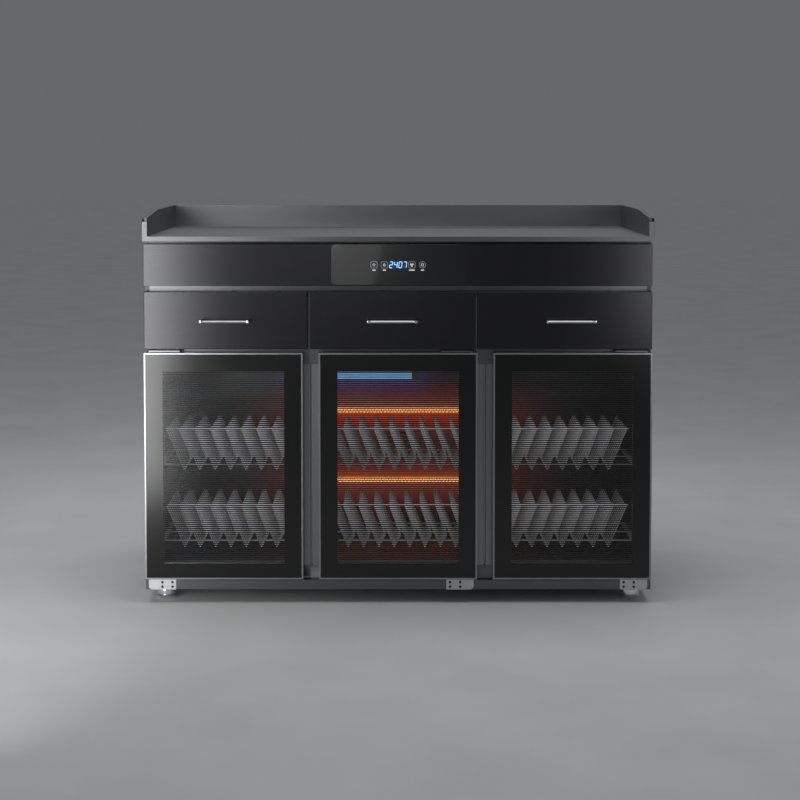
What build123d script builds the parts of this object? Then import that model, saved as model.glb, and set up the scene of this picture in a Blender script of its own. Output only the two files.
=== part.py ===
from build123d import *
from math import hypot
import os

os.makedirs("parts", exist_ok=True)

# Dish sterilizer cabinet. Millimetres, +Z up, the doors face -Y.
# The origin is on the floor, under the middle of the whole object.

# Outer sizes
cabinet_width = 1200.0
cabinet_depth = 500.0
worktop_height = 870.0
side_overhang = 2.0
handle_reach = 30.0
gland_reach = 14.0

# Worktop
worktop_thickness = 12.0
upstand_thickness = 12.0
upstand_height = 57.0
upstand_front_height = 43.5
upstand_slope_run = 185.0

# Sheet metal
sheet = 1.2
panel_flange = 10.0
rail_flange = 25.0
shelf_flange = 15.0
head_flange = 5.0
mullion_flange = 22.0
stile_return = 20.0

# Front layout, from the worktop down
recess_under_worktop = 6.2
fascia_height = 98.4
rail_strip_height = 13.2
drawer_front_height = 135.7
door_top_gap = 8.5
front_setback = 29.0
side_overlay = 1.2

# Base and feet
foot_height = 31.0
foot_radius = 24.0
foot_gap = 0.3
stem_radius = 6.0
stem_length = 20.0
stem_clearance = 0.05
socket_plate = 1.5
socket_side = 60.0
nut_wall = 4.0
nut_height = 21.0
nut_clearance = 0.2
foot_inset_x = 42.0
foot_inset_y = 62.0
bottom_rail_height = 22.0
bottom_rail_setback = 6.0
sill_height = 29.5

# Doors
door_spacing = 37.0
door_thickness = 20.0
door_rim = 4.0
border = 44.0
pane_thickness = 4.0
pane_clearance = 0.2
gasket_inset = 16.0
gasket_width = 10.0
gasket_gap = 0.3
gasket_drop = 7.0
gasket_lip = 2.0
window_drop = 3.0
window_rise = 1.0
pivot_inset = 14.0
pivot_radius = 4.0
pivot_clearance = 0.05
pivot_depth = 13.0
face_overlap = 30.0
groove_width = 5.0
groove_depth = 6.0

# Hinge brackets
top_ear = 3.0
bottom_ear = 2.0
ear_gap = 1.0
top_ear_gap = 2.0
top_bracket_length = 80.0
top_leg_height = 18.0
bottom_bracket_length = 65.0
bottom_ear_length = 32.0
bottom_plate = 3.0
ear_front = 3.0
ear_corner = 6.0

# Drawers
left_partition_x = -211.2
right_partition_x = 184.2
partition_thickness = 12.0
drawer_gap = 4.4
drawer_front_thickness = 24.0
drawer_box_length = 400.0
drawer_box_height = 102.0
drawer_floor_gap = 8.0
shelf_drop = 1.7
drawer_wall = 1.2
panel_chamfer = 1.0
bar_length = 101.0
bar_radius = 3.0
post_radius = 4.5
post_pitch = 110.0
right_handle_shift = 13.0

# Drawer runners
channel_height = 45.0
channel_depth = 10.8
channel_length = 400.0
channel_setback = 4.0
runner_width = 12.0
runner_gap = 0.3
runner_base_gap = 2.0
runner_short = 10.0

# Control panel
glass_width = 315.6
glass_height = 94.7
glass_thickness = 4.0
glass_corner = 11.0
glass_centre_x = 1.1
glass_top_gap = 0.4
fascia_setback = 2.0
cutout_width = 250.0
cutout_height = 66.0
board_thickness = 1.6
board_gap = 7.0
key_pitch = 24.5
key_side = 10.0
key_places = (-2.3, -1.3, 1.3, 2.3)
board_margin = 5.0
board_rim = 3.0
display_width = 46.0
display_height = 18.0
control_box_width = 180.0
control_box_depth = 150.0
control_box_height = 70.0
control_box_setback = 60.0
control_box_corner = 4.0

# Heated chamber
liner_sheet = 1.0
liner_gap = 0.3
liner_side_gap = 18.0
liner_floor_gap = 10.0
liner_roof_gap = 11.0
back_space = 45.0
tube_radius = 8.0
heater_inset = 5.5
upper_heater_share = 0.63
lower_heater_share = 0.2664
tube_stand_off = 28.0
cap_side = 21.0
cap_length = 16.0
lamp_radius = 8.0
lamp_length = 288.0
lamp_end_x = 36.0
lamp_share = 0.813
holder_thickness = 3.0

# Circulation fan
fan_z = 300.0
fan_radius = 55.0
fan_width = 14.0
fan_hub_radius = 9.0
fan_shaft_radius = 2.5
fan_blades = 8
fan_disc = 1.5
vane_thickness = 2.0
vane_gap = 6.0
vane_edge = 1.0
motor_radius = 30.0
motor_length = 22.0
fan_gap = 1.0
intake_slots = 7
intake_slot_width = 5.0
intake_slot_pitch = 12.0
intake_share = 0.75

# Dish racks
wire = 3.6
tooth_pitch = 37.2
tooth_height = 99.0
tooth_lean = 41.0
tooth_belly = 13.0
tooth_belly_height = 25.0
tooth_return = 10.0
rack_front = 100.0
rack_length = 180.0
rack_rows = 2
lower_rack_rise = 39.0
rack_spacing = 188.0
carrier_rise = 10.0
rack_clearance = 1.0
upright_wire = 6.0
rail_wire = 5.0
end_margin = 20.0

# Back panel
vent_slot_length = 50.0
vent_slot_height = 5.0
vent_slot_pitch = 14.0
vent_rows = 4
vent_top_margin = 42.0
gland_inset = 78.0
gland_z = 180.0
gland_radius = 10.0
gland_collar = 15.0
collar_thickness = 6.0
gland_tail = 7.0
gland_bore = 4.5

# Planes worked out from the sizes above
body_width = cabinet_width - 2 * side_overhang
body_half = body_width / 2
front_y = handle_reach - (cabinet_depth + handle_reach + gland_reach) / 2
back_y = front_y + cabinet_depth
face_y = front_y + front_setback
rail_y = front_y + bottom_rail_setback
base_z = foot_height + socket_plate
rail_top = base_z + bottom_rail_height
sill_top = rail_top + sill_height
carcass_top = worktop_height - worktop_thickness
fascia_top = carcass_top - recess_under_worktop
fascia_bottom = fascia_top - fascia_height
drawer_top = fascia_bottom - rail_strip_height
drawer_bottom = drawer_top - drawer_front_height
door_top = drawer_bottom - door_top_gap
door_bottom = rail_top + bottom_ear + ear_gap
head_bottom = door_top - face_overlap
shelf_z = drawer_bottom + drawer_floor_gap - shelf_drop
box_bottom = shelf_z + drawer_floor_gap
box_top = box_bottom + drawer_box_height
electrics_z = box_top + rail_strip_height - drawer_floor_gap
inner_back = back_y - 2 * sheet
gland_x = gland_inset - body_half
inner_side = body_half - sheet
stile_x = body_half - face_overlap
chamber_side = body_half - liner_side_gap
chamber_floor = sill_top - liner_floor_gap
chamber_roof = head_bottom + liner_roof_gap
chamber_back = back_y - back_space
chamber_height = chamber_roof - chamber_floor
door_width = (body_width - 2 * door_spacing) / 3
mullion_x = (door_width + door_spacing) / 2
doors = {
    "left": (-body_half, -body_half + pivot_inset, 1),
    "centre": (-door_width / 2, door_width / 2 - pivot_inset, -1),
    "right": (body_half - door_width, body_half - pivot_inset, -1),
}
drawers = {
    "left": (-body_half + side_overlay, left_partition_x - drawer_gap / 2),
    "centre": (left_partition_x + drawer_gap / 2, right_partition_x - drawer_gap / 2),
    "right": (right_partition_x + drawer_gap / 2, body_half - side_overlay),
}
bays = {
    "left": (-body_half + panel_flange + sheet, left_partition_x - partition_thickness / 2),
    "centre": (left_partition_x + partition_thickness / 2,
               right_partition_x - partition_thickness / 2),
    "right": (right_partition_x + partition_thickness / 2, body_half - panel_flange - sheet),
}


def block(x0, x1, y0, y1, z0, z1):
    centre = Pos((x0 + x1) / 2, (y0 + y1) / 2, (z0 + z1) / 2)
    return centre * Box(abs(x1 - x0), abs(y1 - y0), abs(z1 - z0))


def rod(radius, start, end):
    """Round bar from one point to another, along a row axis."""
    run = Vector(*end) - Vector(*start)
    return extrude(Plane(origin=start, z_dir=run) * Circle(radius), run.length)


def along_x(points, x0, x1):
    outline = Plane.YZ.offset(x0) * make_face(Polyline(*points, close=True))
    return extrude(outline, x1 - x0)


def along_y(points, y0, y1):
    outline = Plane.XZ.offset(-y1) * make_face(Polyline(*points, close=True))
    return extrude(outline, y1 - y0)


def along_z(points, z0, z1):
    outline = Plane.XY.offset(z0) * make_face(Polyline(*points, close=True))
    return extrude(outline, z1 - z0)


def folded(points, thickness=sheet):
    """Closed outline of a sheet folded along the points, its thickness on the left."""
    normals = []
    for start, end in zip(points, points[1:]):
        run = hypot(end[0] - start[0], end[1] - start[1])
        normals.append(((start[1] - end[1]) / run, (end[0] - start[0]) / run))
    inner = []
    for index, point in enumerate(points):
        before = normals[max(index - 1, 0)]
        after = normals[min(index, len(normals) - 1)]
        share = 1 + before[0] * after[0] + before[1] * after[1]
        across = ((before[0] + after[0]) / share, (before[1] + after[1]) / share)
        inner.append((point[0] + across[0] * thickness, point[1] + across[1] * thickness))
    return list(points) + inner[::-1]


def save(name, *pieces):
    """Write one sub-part, as one solid or as a group of separate solids."""
    solids = [solid for piece in pieces for solid in piece.solids()]
    shape = solids[0] if len(solids) == 1 else Compound(children=solids)
    shape.label = name
    export_step(shape, f"parts/{name}.step")


# Worktop: a sheet wrapped round a stiff board, with upstands on three sides
worktop_half = cabinet_width / 2
slab = block(-worktop_half, worktop_half, front_y, back_y, carcass_top, worktop_height)
upstand_profile = [
    (front_y, worktop_height),
    (front_y, worktop_height + upstand_front_height),
    (front_y + upstand_slope_run, worktop_height + upstand_height),
    (back_y, worktop_height + upstand_height),
    (back_y, worktop_height),
]
left_upstand = along_x(upstand_profile, -worktop_half, -worktop_half + upstand_thickness)
right_upstand = along_x(upstand_profile, worktop_half - upstand_thickness, worktop_half)
back_upstand = block(-worktop_half, worktop_half, back_y - upstand_thickness, back_y,
                     worktop_height, worktop_height + upstand_height)
save("worktop", slab + left_upstand + right_upstand + back_upstand)

# Side panels: trays with a narrow flange at the front and at the back
side_profile = [
    (-body_half + panel_flange, back_y),
    (-body_half, back_y),
    (-body_half, face_y),
    (-body_half + panel_flange, face_y),
]
left_panel = along_z(folded(side_profile), base_z, carcass_top)
save("left_side_panel", left_panel)
save("right_side_panel", mirror(left_panel, Plane.YZ))

# Back panel with its vent slots and the hole of the cable gland
back_panel = block(-inner_side, inner_side, inner_back, inner_back + sheet,
                   base_z, carcass_top)
vent_top = carcass_top - vent_top_margin
for column in (-1, 1):
    for row in range(vent_rows):
        slot_z = vent_top - row * vent_slot_pitch
        slot_x = column * (vent_slot_length + control_box_width / 2)
        back_panel -= block(slot_x - vent_slot_length, slot_x + vent_slot_length,
                            inner_back - 1, back_y, slot_z, slot_z + vent_slot_height)
for row in range(intake_slots):
    slot_z = fan_z + (row - intake_slots // 2) * vent_slot_pitch
    back_panel -= block(fan_radius, fan_radius + vent_slot_length, inner_back - 1, back_y,
                        slot_z, slot_z + vent_slot_height)
gland_hole = rod(gland_radius, (gland_x, inner_back - 1, gland_z), (gland_x, back_y, gland_z))
save("back_panel", back_panel - gland_hole)

# Cable gland: a collar outside the panel, a tail through it and an empty bore
collar_y = inner_back + sheet
gland_end = back_y + gland_reach
gland = rod(gland_radius - stem_clearance, (gland_x, inner_back - gland_tail, gland_z),
            (gland_x, collar_y, gland_z))
gland += rod(gland_collar, (gland_x, collar_y, gland_z),
             (gland_x, collar_y + collar_thickness, gland_z))
gland += rod(gland_radius, (gland_x, collar_y + collar_thickness, gland_z),
             (gland_x, gland_end, gland_z))
gland_passage = rod(gland_bore, (gland_x, inner_back - gland_tail - 1, gland_z),
                    (gland_x, gland_end + 1, gland_z))
save("cable_gland", gland - gland_passage)

# Base pan with the four foot sockets under it
pan_top = rail_top - 2 * sheet
pan_profile = [
    (-inner_side, pan_top),
    (-inner_side, base_z),
    (inner_side, base_z),
    (inner_side, pan_top),
]
base_pan = along_y(folded(pan_profile), face_y + rail_flange, inner_back)
feet = {
    "front_left": (-body_half + foot_inset_x, front_y + foot_inset_y),
    "front_right": (body_half - foot_inset_x, front_y + foot_inset_y),
    "rear_left": (-body_half + foot_inset_x, back_y - foot_inset_y),
    "rear_right": (body_half - foot_inset_x, back_y - foot_inset_y),
}
stem_bore = stem_radius + stem_clearance
nut_half = stem_bore + nut_wall
foot_top = foot_height - foot_gap
turned_foot = rod(foot_radius, (0, 0, 0), (0, 0, foot_top))
turned_foot += rod(stem_radius, (0, 0, foot_top), (0, 0, foot_height + stem_length))


def square(x, y, half, z0, z1):
    """Square block about an upright line."""
    return block(x - half, x + half, y - half, y + half, z0, z1)


sockets = []
nut_room = nut_half + nut_clearance
for name, (x, y) in feet.items():
    base_pan -= square(x, y, nut_room, base_z - 1, base_z + sheet + 1)
    plate = square(x, y, socket_side / 2, foot_height, base_z)
    nut = square(x, y, nut_half, base_z, foot_height + nut_height)
    bore = rod(stem_bore, (x, y, 0), (x, y, rail_top + stem_length))
    sockets.append(plate + nut - bore)
    save(f"foot_{name}", Pos(x, y, 0) * turned_foot)
save("base_pan", base_pan)
save("foot_sockets", *sockets)

# Bottom rail: one folded sheet, its lip behind the doors makes the sill
rail_profile = [
    (face_y + rail_flange, base_z),
    (rail_y, base_z),
    (rail_y, rail_top),
    (face_y, rail_top),
    (face_y, sill_top),
    (face_y + rail_flange, sill_top),
]
bottom_rail = along_x(folded(rail_profile[::-1]), -body_half, body_half)
for side in (-1, 1):
    bottom_rail -= block(side * stile_x, side * (body_half + 1), face_y, back_y,
                         base_z - 1, sill_top + 1)
    bottom_rail += block(side * (body_half - sheet), side * body_half, rail_y, face_y,
                         base_z, rail_top)
for x, y in (feet["front_left"], feet["front_right"]):
    bottom_rail -= square(x, y, nut_room, base_z - 1, base_z + sheet + 1)
save("bottom_rail", bottom_rail)

# Head rail over the doors, drawer rail and top rail
head_profile = [
    (face_y + rail_flange + head_flange, head_bottom),
    (face_y, head_bottom),
    (face_y, shelf_z),
    (face_y + rail_flange + shelf_flange, shelf_z),
]
save("head_rail", along_x(folded(head_profile[::-1]), -stile_x, stile_x))


def channel_rail(bottom, top):
    profile = [
        (face_y + rail_flange, bottom),
        (face_y, bottom),
        (face_y, top),
        (face_y + rail_flange, top),
    ]
    rail_half = body_half - panel_flange
    return along_x(folded(profile[::-1]), -rail_half, rail_half)


save("drawer_rail", channel_rail(electrics_z, fascia_bottom + panel_flange))
save("top_rail", channel_rail(carcass_top - 2 * panel_flange, carcass_top))

# Side stiles behind the outer door edges
stile_profile = [
    (-body_half + panel_flange, face_y),
    (-stile_x, face_y),
    (-stile_x, face_y + stile_return),
]
left_stile = along_z(folded(stile_profile), rail_top, shelf_z)
save("side_stiles", left_stile, mirror(left_stile, Plane.YZ))

# Mullions: two stiles in one folded channel, with a groove between them
mullion_half = door_spacing / 2 + face_overlap
groove = groove_width / 2
for name, x in (("left", -mullion_x), ("right", mullion_x)):
    profile = [
        (x - mullion_half, face_y + mullion_flange),
        (x - mullion_half, face_y),
        (x - groove, face_y),
        (x - groove, face_y + groove_depth),
        (x + groove, face_y + groove_depth),
        (x + groove, face_y),
        (x + mullion_half, face_y),
        (x + mullion_half, face_y + mullion_flange),
    ]
    save(f"mullion_{name}", along_z(folded(profile), sill_top, head_bottom))

# Drawer bay: floor, two hollow partitions and the shelf for the electrics
save("drawer_bay_floor", block(-inner_side, inner_side, face_y + rail_flange + shelf_flange,
                               inner_back, shelf_z - sheet, shelf_z))
partitions = []
for x in (left_partition_x, right_partition_x):
    half = partition_thickness / 2
    tube = block(x - half, x + half, face_y, inner_back, shelf_z, electrics_z)
    hollow = block(x - half + sheet, x + half - sheet, face_y + sheet, inner_back - sheet,
                   shelf_z - 1, electrics_z + 1)
    partitions.append(tube - hollow)
save("drawer_partitions", *partitions)
save("electrics_shelf", block(-inner_side, inner_side, face_y + rail_flange, inner_back,
                              electrics_z, electrics_z + sheet))

# Fascia with a cut-out behind the control glass
fascia_y = front_y + fascia_setback
fascia_half = body_half - side_overlay
fascia_profile = [
    (face_y, fascia_top),
    (fascia_y, fascia_top),
    (fascia_y, fascia_bottom),
    (face_y, fascia_bottom),
]
fascia = along_x(folded(fascia_profile), -fascia_half, fascia_half)
for side in (-1, 1):
    fascia += block(side * (fascia_half - sheet), side * fascia_half, fascia_y, face_y,
                    fascia_bottom, fascia_top)
glass_z = fascia_top - glass_top_gap - glass_height / 2
cutout = block(glass_centre_x - cutout_width / 2, glass_centre_x + cutout_width / 2,
               fascia_y - 1, fascia_y + 2 * sheet,
               glass_z - cutout_height / 2, glass_z + cutout_height / 2)
save("fascia_panel", fascia - cutout)

# Control glass, proud of the fascia by its own thickness
glass_face = RectangleRounded(glass_width, glass_height, glass_corner)
control_glass = extrude(Plane.XZ.offset(-fascia_y) * Pos(glass_centre_x, glass_z) * glass_face,
                        glass_thickness)
save("control_glass", control_glass)

# Control board behind the glass: touch pads and the display reach its back
board_y = fascia_y + board_gap
board_half = cutout_width / 2 - board_margin
board_rise = cutout_height / 2 - board_rim
control_board = block(glass_centre_x - board_half, glass_centre_x + board_half,
                      board_y, board_y + board_thickness,
                      glass_z - board_rise, glass_z + board_rise)
for place in key_places:
    key_x = place * key_pitch
    control_board += block(key_x - key_side / 2, key_x + key_side / 2, fascia_y, board_y,
                           glass_z - key_side / 2, glass_z + key_side / 2)
control_board += block(-display_width / 2, display_width / 2, fascia_y, board_y,
                       glass_z - display_height / 2, glass_z + display_height / 2)
save("control_board", control_board)

# Control box on the electrics shelf
box_back = inner_back - control_box_setback
control_box = block(-control_box_width / 2, control_box_width / 2,
                    box_back - control_box_depth, box_back,
                    electrics_z + sheet, electrics_z + sheet + control_box_height)
control_box = chamfer(control_box.edges().filter_by(Axis.Z), control_box_corner)
save("control_box", control_box)

# Drawers: front, folded box, handle and the runner members that ride with it
channels = []
runner_z = box_bottom + drawer_box_height / 2
channel_y = face_y + channel_setback
for name, (front_x0, front_x1) in drawers.items():
    bay_x0, bay_x1 = bays[name]
    box_x0 = bay_x0 + runner_width
    box_x1 = bay_x1 - runner_width
    box_y = front_y + drawer_front_thickness
    front = block(front_x0, front_x1, front_y, box_y, drawer_bottom, drawer_top)
    front = chamfer(front.faces().sort_by(Axis.Y)[0].edges(), panel_chamfer)
    save(f"drawer_front_{name}", front)
    box = block(box_x0, box_x1, box_y, box_y + drawer_box_length, box_bottom, box_top)
    space = block(box_x0 + drawer_wall, box_x1 - drawer_wall, box_y + drawer_wall,
                  box_y + drawer_box_length - drawer_wall, box_bottom + drawer_wall,
                  box_top + 1)
    save(f"drawer_box_{name}", box - space)
    handle_x = (front_x0 + front_x1) / 2
    if name == "right":
        handle_x += right_handle_shift
    handle_z = (drawer_bottom + drawer_top) / 2
    post_end = front_y - handle_reach
    posts = []
    for side in (-1, 1):
        post_x = handle_x + side * post_pitch / 2
        posts.append(rod(post_radius, (post_x, front_y, handle_z),
                         (post_x, post_end, handle_z)))
    bar_y = post_end + post_radius
    bar = rod(bar_radius, (handle_x - bar_length / 2, bar_y, handle_z),
              (handle_x + bar_length / 2, bar_y, handle_z))
    save(f"drawer_handle_{name}", bar, *posts)
    runners = []
    for wall_x, side in ((bay_x0, 1), (bay_x1, -1)):
        channel_profile = [
            (wall_x + side * channel_depth, runner_z - channel_height / 2),
            (wall_x, runner_z - channel_height / 2),
            (wall_x, runner_z + channel_height / 2),
            (wall_x + side * channel_depth, runner_z + channel_height / 2),
        ]
        outline = folded(channel_profile if side < 0 else channel_profile[::-1])
        channel = along_y(outline, channel_y, channel_y + channel_length)
        if name != "centre" and wall_x in (bays["left"][0], bays["right"][1]):
            channel += block(wall_x, -side * inner_side, channel_y, channel_y + channel_length,
                             runner_z - panel_flange, runner_z + panel_flange)
        channels.append(channel)
        reach = channel_height / 2 - sheet - runner_gap
        base_x = wall_x + side * (sheet + runner_base_gap)
        box_x = wall_x + side * runner_width
        runner_profile = [
            (base_x, runner_z - reach),
            (box_x, runner_z - reach),
            (box_x, runner_z + reach),
            (base_x, runner_z + reach),
        ]
        outline = folded(runner_profile if side > 0 else runner_profile[::-1])
        runners.append(along_y(outline, channel_y, channel_y + channel_length - runner_short))
    save(f"drawer_runners_{name}", *runners)
save("runner_channels", *channels)

# Doors: a frame with a rebate for the pane, pivot bores at one side, and a gasket
top_pins = []
bottom_pins = []
for name, (door_x, pin_x, side) in doors.items():
    outer = block(door_x, door_x + door_width, front_y, front_y + door_thickness,
                  door_bottom, door_top)
    window = block(door_x + border, door_x + door_width - border, front_y - 1,
                   front_y + door_thickness + 1, door_bottom + border - window_drop,
                   door_top - border + window_rise)
    rebate = block(door_x + door_rim, door_x + door_width - door_rim, front_y - 1,
                   front_y + pane_thickness, door_bottom + door_rim, door_top - door_rim)
    pin_y = front_y + door_thickness / 2
    bore_radius = pivot_radius + pivot_clearance
    bores = rod(bore_radius, (pin_x, pin_y, door_top - pivot_depth - 1),
                (pin_x, pin_y, door_top + 1))
    bores += rod(bore_radius, (pin_x, pin_y, door_bottom - 1),
                 (pin_x, pin_y, door_bottom + pivot_depth + 1))
    save(f"door_frame_{name}", outer - window - rebate - bores)
    slip = door_rim + pane_clearance
    pane = block(door_x + slip, door_x + door_width - slip, front_y, front_y + pane_thickness,
                 door_bottom + slip, door_top - slip)
    save(f"door_pane_{name}", pane)
    seal_y = front_y + door_thickness
    seal = block(door_x + gasket_inset, door_x + door_width - gasket_inset, seal_y,
                 face_y - gasket_gap, door_bottom + gasket_inset - gasket_drop,
                 door_top - gasket_inset)
    inner = gasket_inset + gasket_width
    seal -= block(door_x + inner, door_x + door_width - inner, seal_y - 1, face_y,
                  door_bottom + inner - gasket_drop, door_top - inner)
    lip = seal.faces().sort_by(Axis.Y)[-1].edges()
    save(f"door_gasket_{name}", chamfer(lip, gasket_lip))
    # Top bracket: an ear over the door and a leg screwed to the head rail
    ear_x0 = pin_x - side * ear_corner
    ear_x1 = ear_x0 + side * top_bracket_length
    ear_z = door_top + top_ear_gap
    ear = block(ear_x0, ear_x1, front_y + ear_front, face_y, ear_z, ear_z + top_ear)
    ear = chamfer(ear.edges().filter_by(Axis.Z).sort_by(Axis.Y)[:2], ear_corner / 2)
    leg = block(ear_x0, ear_x1, face_y - top_ear, face_y, ear_z, ear_z + top_leg_height)
    pin = rod(pivot_radius, (pin_x, pin_y, door_top - pivot_depth), (pin_x, pin_y, ear_z))
    top_pins.append(ear + leg + pin)
    # Bottom bracket: a plate screwed to the bottom rail and an ear under the door
    plate_x1 = ear_x0 + side * bottom_bracket_length
    plate = block(ear_x0, plate_x1, rail_y - bottom_plate, rail_y, base_z,
                  rail_top + bottom_ear)
    corner = plate.edges().filter_by(Axis.Y).group_by(Axis.Z)[0]
    corner = corner.sort_by(Axis.X)[0 if side > 0 else -1]
    plate = chamfer(corner, ear_corner)
    ear = block(ear_x0, ear_x0 + side * bottom_ear_length, rail_y - bottom_plate,
                front_y + door_thickness, rail_top, rail_top + bottom_ear)
    pin = rod(pivot_radius, (pin_x, pin_y, rail_top + bottom_ear),
              (pin_x, pin_y, door_bottom + pivot_depth))
    bottom_pins.append(plate + ear + pin)
save("top_hinge_brackets", *top_pins)
save("bottom_hinge_brackets", *bottom_pins)

# Chamber liner: floor, roof, two sides and a back with the fan's intake slots
liner_y = face_y + stile_return + liner_gap
liner_back = block(-chamber_side, chamber_side, chamber_back, chamber_back + liner_sheet,
                   chamber_floor, chamber_roof)
for row in range(intake_slots):
    slot_z = fan_z + (row - intake_slots // 2) * intake_slot_pitch
    slot_half = fan_radius * intake_share - abs(row - intake_slots // 2) * intake_slot_width
    liner_back -= block(-slot_half, slot_half, chamber_back - liner_sheet,
                        chamber_back + 2 * liner_sheet, slot_z, slot_z + intake_slot_width)
liner = [
    block(-chamber_side, chamber_side, liner_y, chamber_back, chamber_floor,
          chamber_floor + liner_sheet),
    block(-chamber_side, chamber_side, liner_y, chamber_back, chamber_roof - liner_sheet,
          chamber_roof),
    liner_back,
]
for side in (-1, 1):
    liner.append(block(side * (chamber_side - liner_sheet), side * chamber_side, liner_y,
                       chamber_back, chamber_floor + liner_sheet, chamber_roof - liner_sheet))
save("chamber_liner", *liner)

# Two quartz heater tubes and the ultraviolet lamp, in caps on small brackets
tube_y = chamber_back - tube_stand_off
heaters = []
holders = []


def holder(x, z, side):
    """Cap on the end of a tube, with a bracket to the back of the liner."""
    half = cap_side / 2
    end = x + side * cap_length
    cap = block(x, end, tube_y - half, tube_y + half, z - half, z + half)
    bracket = block(end, end + side * holder_thickness, tube_y - half, chamber_back,
                    z - half, z + half)
    return cap + bracket


heater_end = mullion_x - heater_inset
for share in (upper_heater_share, lower_heater_share):
    z = chamber_floor + share * chamber_height
    heaters.append(rod(tube_radius, (-heater_end, tube_y, z), (heater_end, tube_y, z)))
    holders.append(holder(-heater_end, z, -1))
    holders.append(holder(heater_end, z, 1))
lamp_start_x = lamp_end_x - lamp_length
lamp_z = chamber_floor + lamp_share * chamber_height
save("heater_tubes", *heaters)
save("uv_lamp", rod(lamp_radius, (lamp_start_x, tube_y, lamp_z), (lamp_end_x, tube_y, lamp_z)))
holders.append(holder(lamp_start_x, lamp_z, -1))
holders.append(holder(lamp_end_x, lamp_z, 1))
save("tube_holders", *holders)

# Circulation fan between the liner and the back panel
motor_y = inner_back - motor_length
wheel_y = motor_y - fan_gap - fan_width
motor = rod(motor_radius, (0, motor_y, fan_z), (0, inner_back, fan_z))
shaft = rod(fan_shaft_radius, (0, wheel_y, fan_z), (0, motor_y, fan_z))
save("fan_motor", motor + shaft)
disc_y = motor_y - fan_gap
wheel = rod(fan_radius, (0, disc_y - fan_disc, fan_z), (0, disc_y, fan_z))
wheel += rod(fan_hub_radius, (0, wheel_y, fan_z), (0, disc_y, fan_z))
for blade in range(fan_blades):
    vane = block(fan_hub_radius + vane_gap, fan_radius - vane_edge, wheel_y,
                 disc_y - fan_disc, -vane_thickness / 2, vane_thickness / 2)
    wheel += Pos(0, 0, fan_z) * Rot(0, blade * 360 / fan_blades, 0) * vane
wheel -= rod(fan_shaft_radius + pivot_clearance, (0, wheel_y - 1, fan_z),
             (0, motor_y, fan_z))
save("fan_impeller", wheel)

# Rack supports: rails on the chamber walls and two wire ladders behind the mullions
rack_y = front_y + rack_front
rack_end = rack_y + rack_length
lower_rack_z = chamber_floor + lower_rack_rise
rack_levels = (lower_rack_z, lower_rack_z + rack_spacing)
rail_y0 = rack_y - end_margin
rail_y1 = rack_end + end_margin
wall_x = chamber_side - liner_sheet
supports = []
for side in (-1, 1):
    for level in rack_levels:
        rail_top_z = level + carrier_rise
        supports.append(block(side * wall_x, side * (wall_x - rail_wire * 2), rail_y0, rail_y1,
                              rail_top_z - rail_wire, rail_top_z))
        for post_side in (-1, 1):
            inner_x = side * mullion_x + post_side * upright_wire / 2
            supports.append(block(inner_x, inner_x + post_side * rail_wire, rail_y0, rail_y1,
                                  rail_top_z - rail_wire, rail_top_z))
    for y in (rail_y0 + end_margin / 2, rail_y1 - end_margin / 2):
        supports.append(block(side * mullion_x - upright_wire / 2,
                              side * mullion_x + upright_wire / 2, y, y + upright_wire,
                              chamber_floor + liner_sheet, chamber_roof - liner_sheet))
save("rack_supports", *supports)


def dish_rack(x0, x1, level, lean):
    """Wire rack: rows of leaning V teeth on bars, between two rails at x0 and x1."""
    usable = x1 - x0 - 2 * end_margin - tooth_lean - tooth_belly
    teeth = int(usable / tooth_pitch) + 1
    spare = (usable - (teeth - 1) * tooth_pitch) / 2
    start = end_margin + tooth_lean + spare if lean < 0 else end_margin + tooth_belly + spare
    tips = [x0 + start + index * tooth_pitch for index in range(teeth)]
    top = level + tooth_height
    wires = []
    for row in range(rack_rows):
        y = rack_y + row * rack_length / (rack_rows - 1)
        for tip in tips:
            outer = [(0, 0), (-wire, 0), (-tooth_lean - wire, tooth_height),
                     (-tooth_lean, tooth_height)]
            inner = [(0, 0), (wire, 0), (tooth_belly + wire, tooth_belly_height),
                     (-tooth_return, tooth_height), (-tooth_return - wire, tooth_height),
                     (tooth_belly, tooth_belly_height)]
            for leg in (outer, inner):
                points = [(tip - lean * x, level + z) for x, z in leg]
                wires.append(along_y(points, y, y + wire))
        for bar_z in (level + carrier_rise, top - wire):
            span = (x0 + rack_clearance, x1 - rack_clearance)
            if bar_z > level + carrier_rise:
                span = (x0 + end_margin, x1 - end_margin)
            wires.append(block(*span, y + wire, y + 2 * wire, bar_z, bar_z + wire))
    for tip in tips:
        wires.append(block(tip - wire, tip + wire, rack_y, rack_end + wire,
                           level - wire, level))
    return wires


rack_bays = {
    "left": (-wall_x, -mullion_x - upright_wire / 2, -1),
    "centre": (-mullion_x + upright_wire / 2, mullion_x - upright_wire / 2, -1),
    "right": (mullion_x + upright_wire / 2, wall_x, 1),
}
for name, (x0, x1, lean) in rack_bays.items():
    racks = []
    for level in rack_levels:
        racks += dish_rack(x0, x1, level, lean)
    save(f"dish_racks_{name}", *racks)
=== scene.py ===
# %% [markdown]
# # Dish sterilizer cabinet
# A low steel cabinet warms and disinfects dishes behind three glass doors, and has three
# drawers under its worktop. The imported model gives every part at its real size. This script
# gives each part its finish, and stands finer meshes in for the parts that show most. All
# lengths are in metres, the doors face -Y and Z points up.

# %% Load the frame
import bmesh
import bpy
from math import cos, pi, radians, sin, tau
from mathutils import Matrix, Vector


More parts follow.
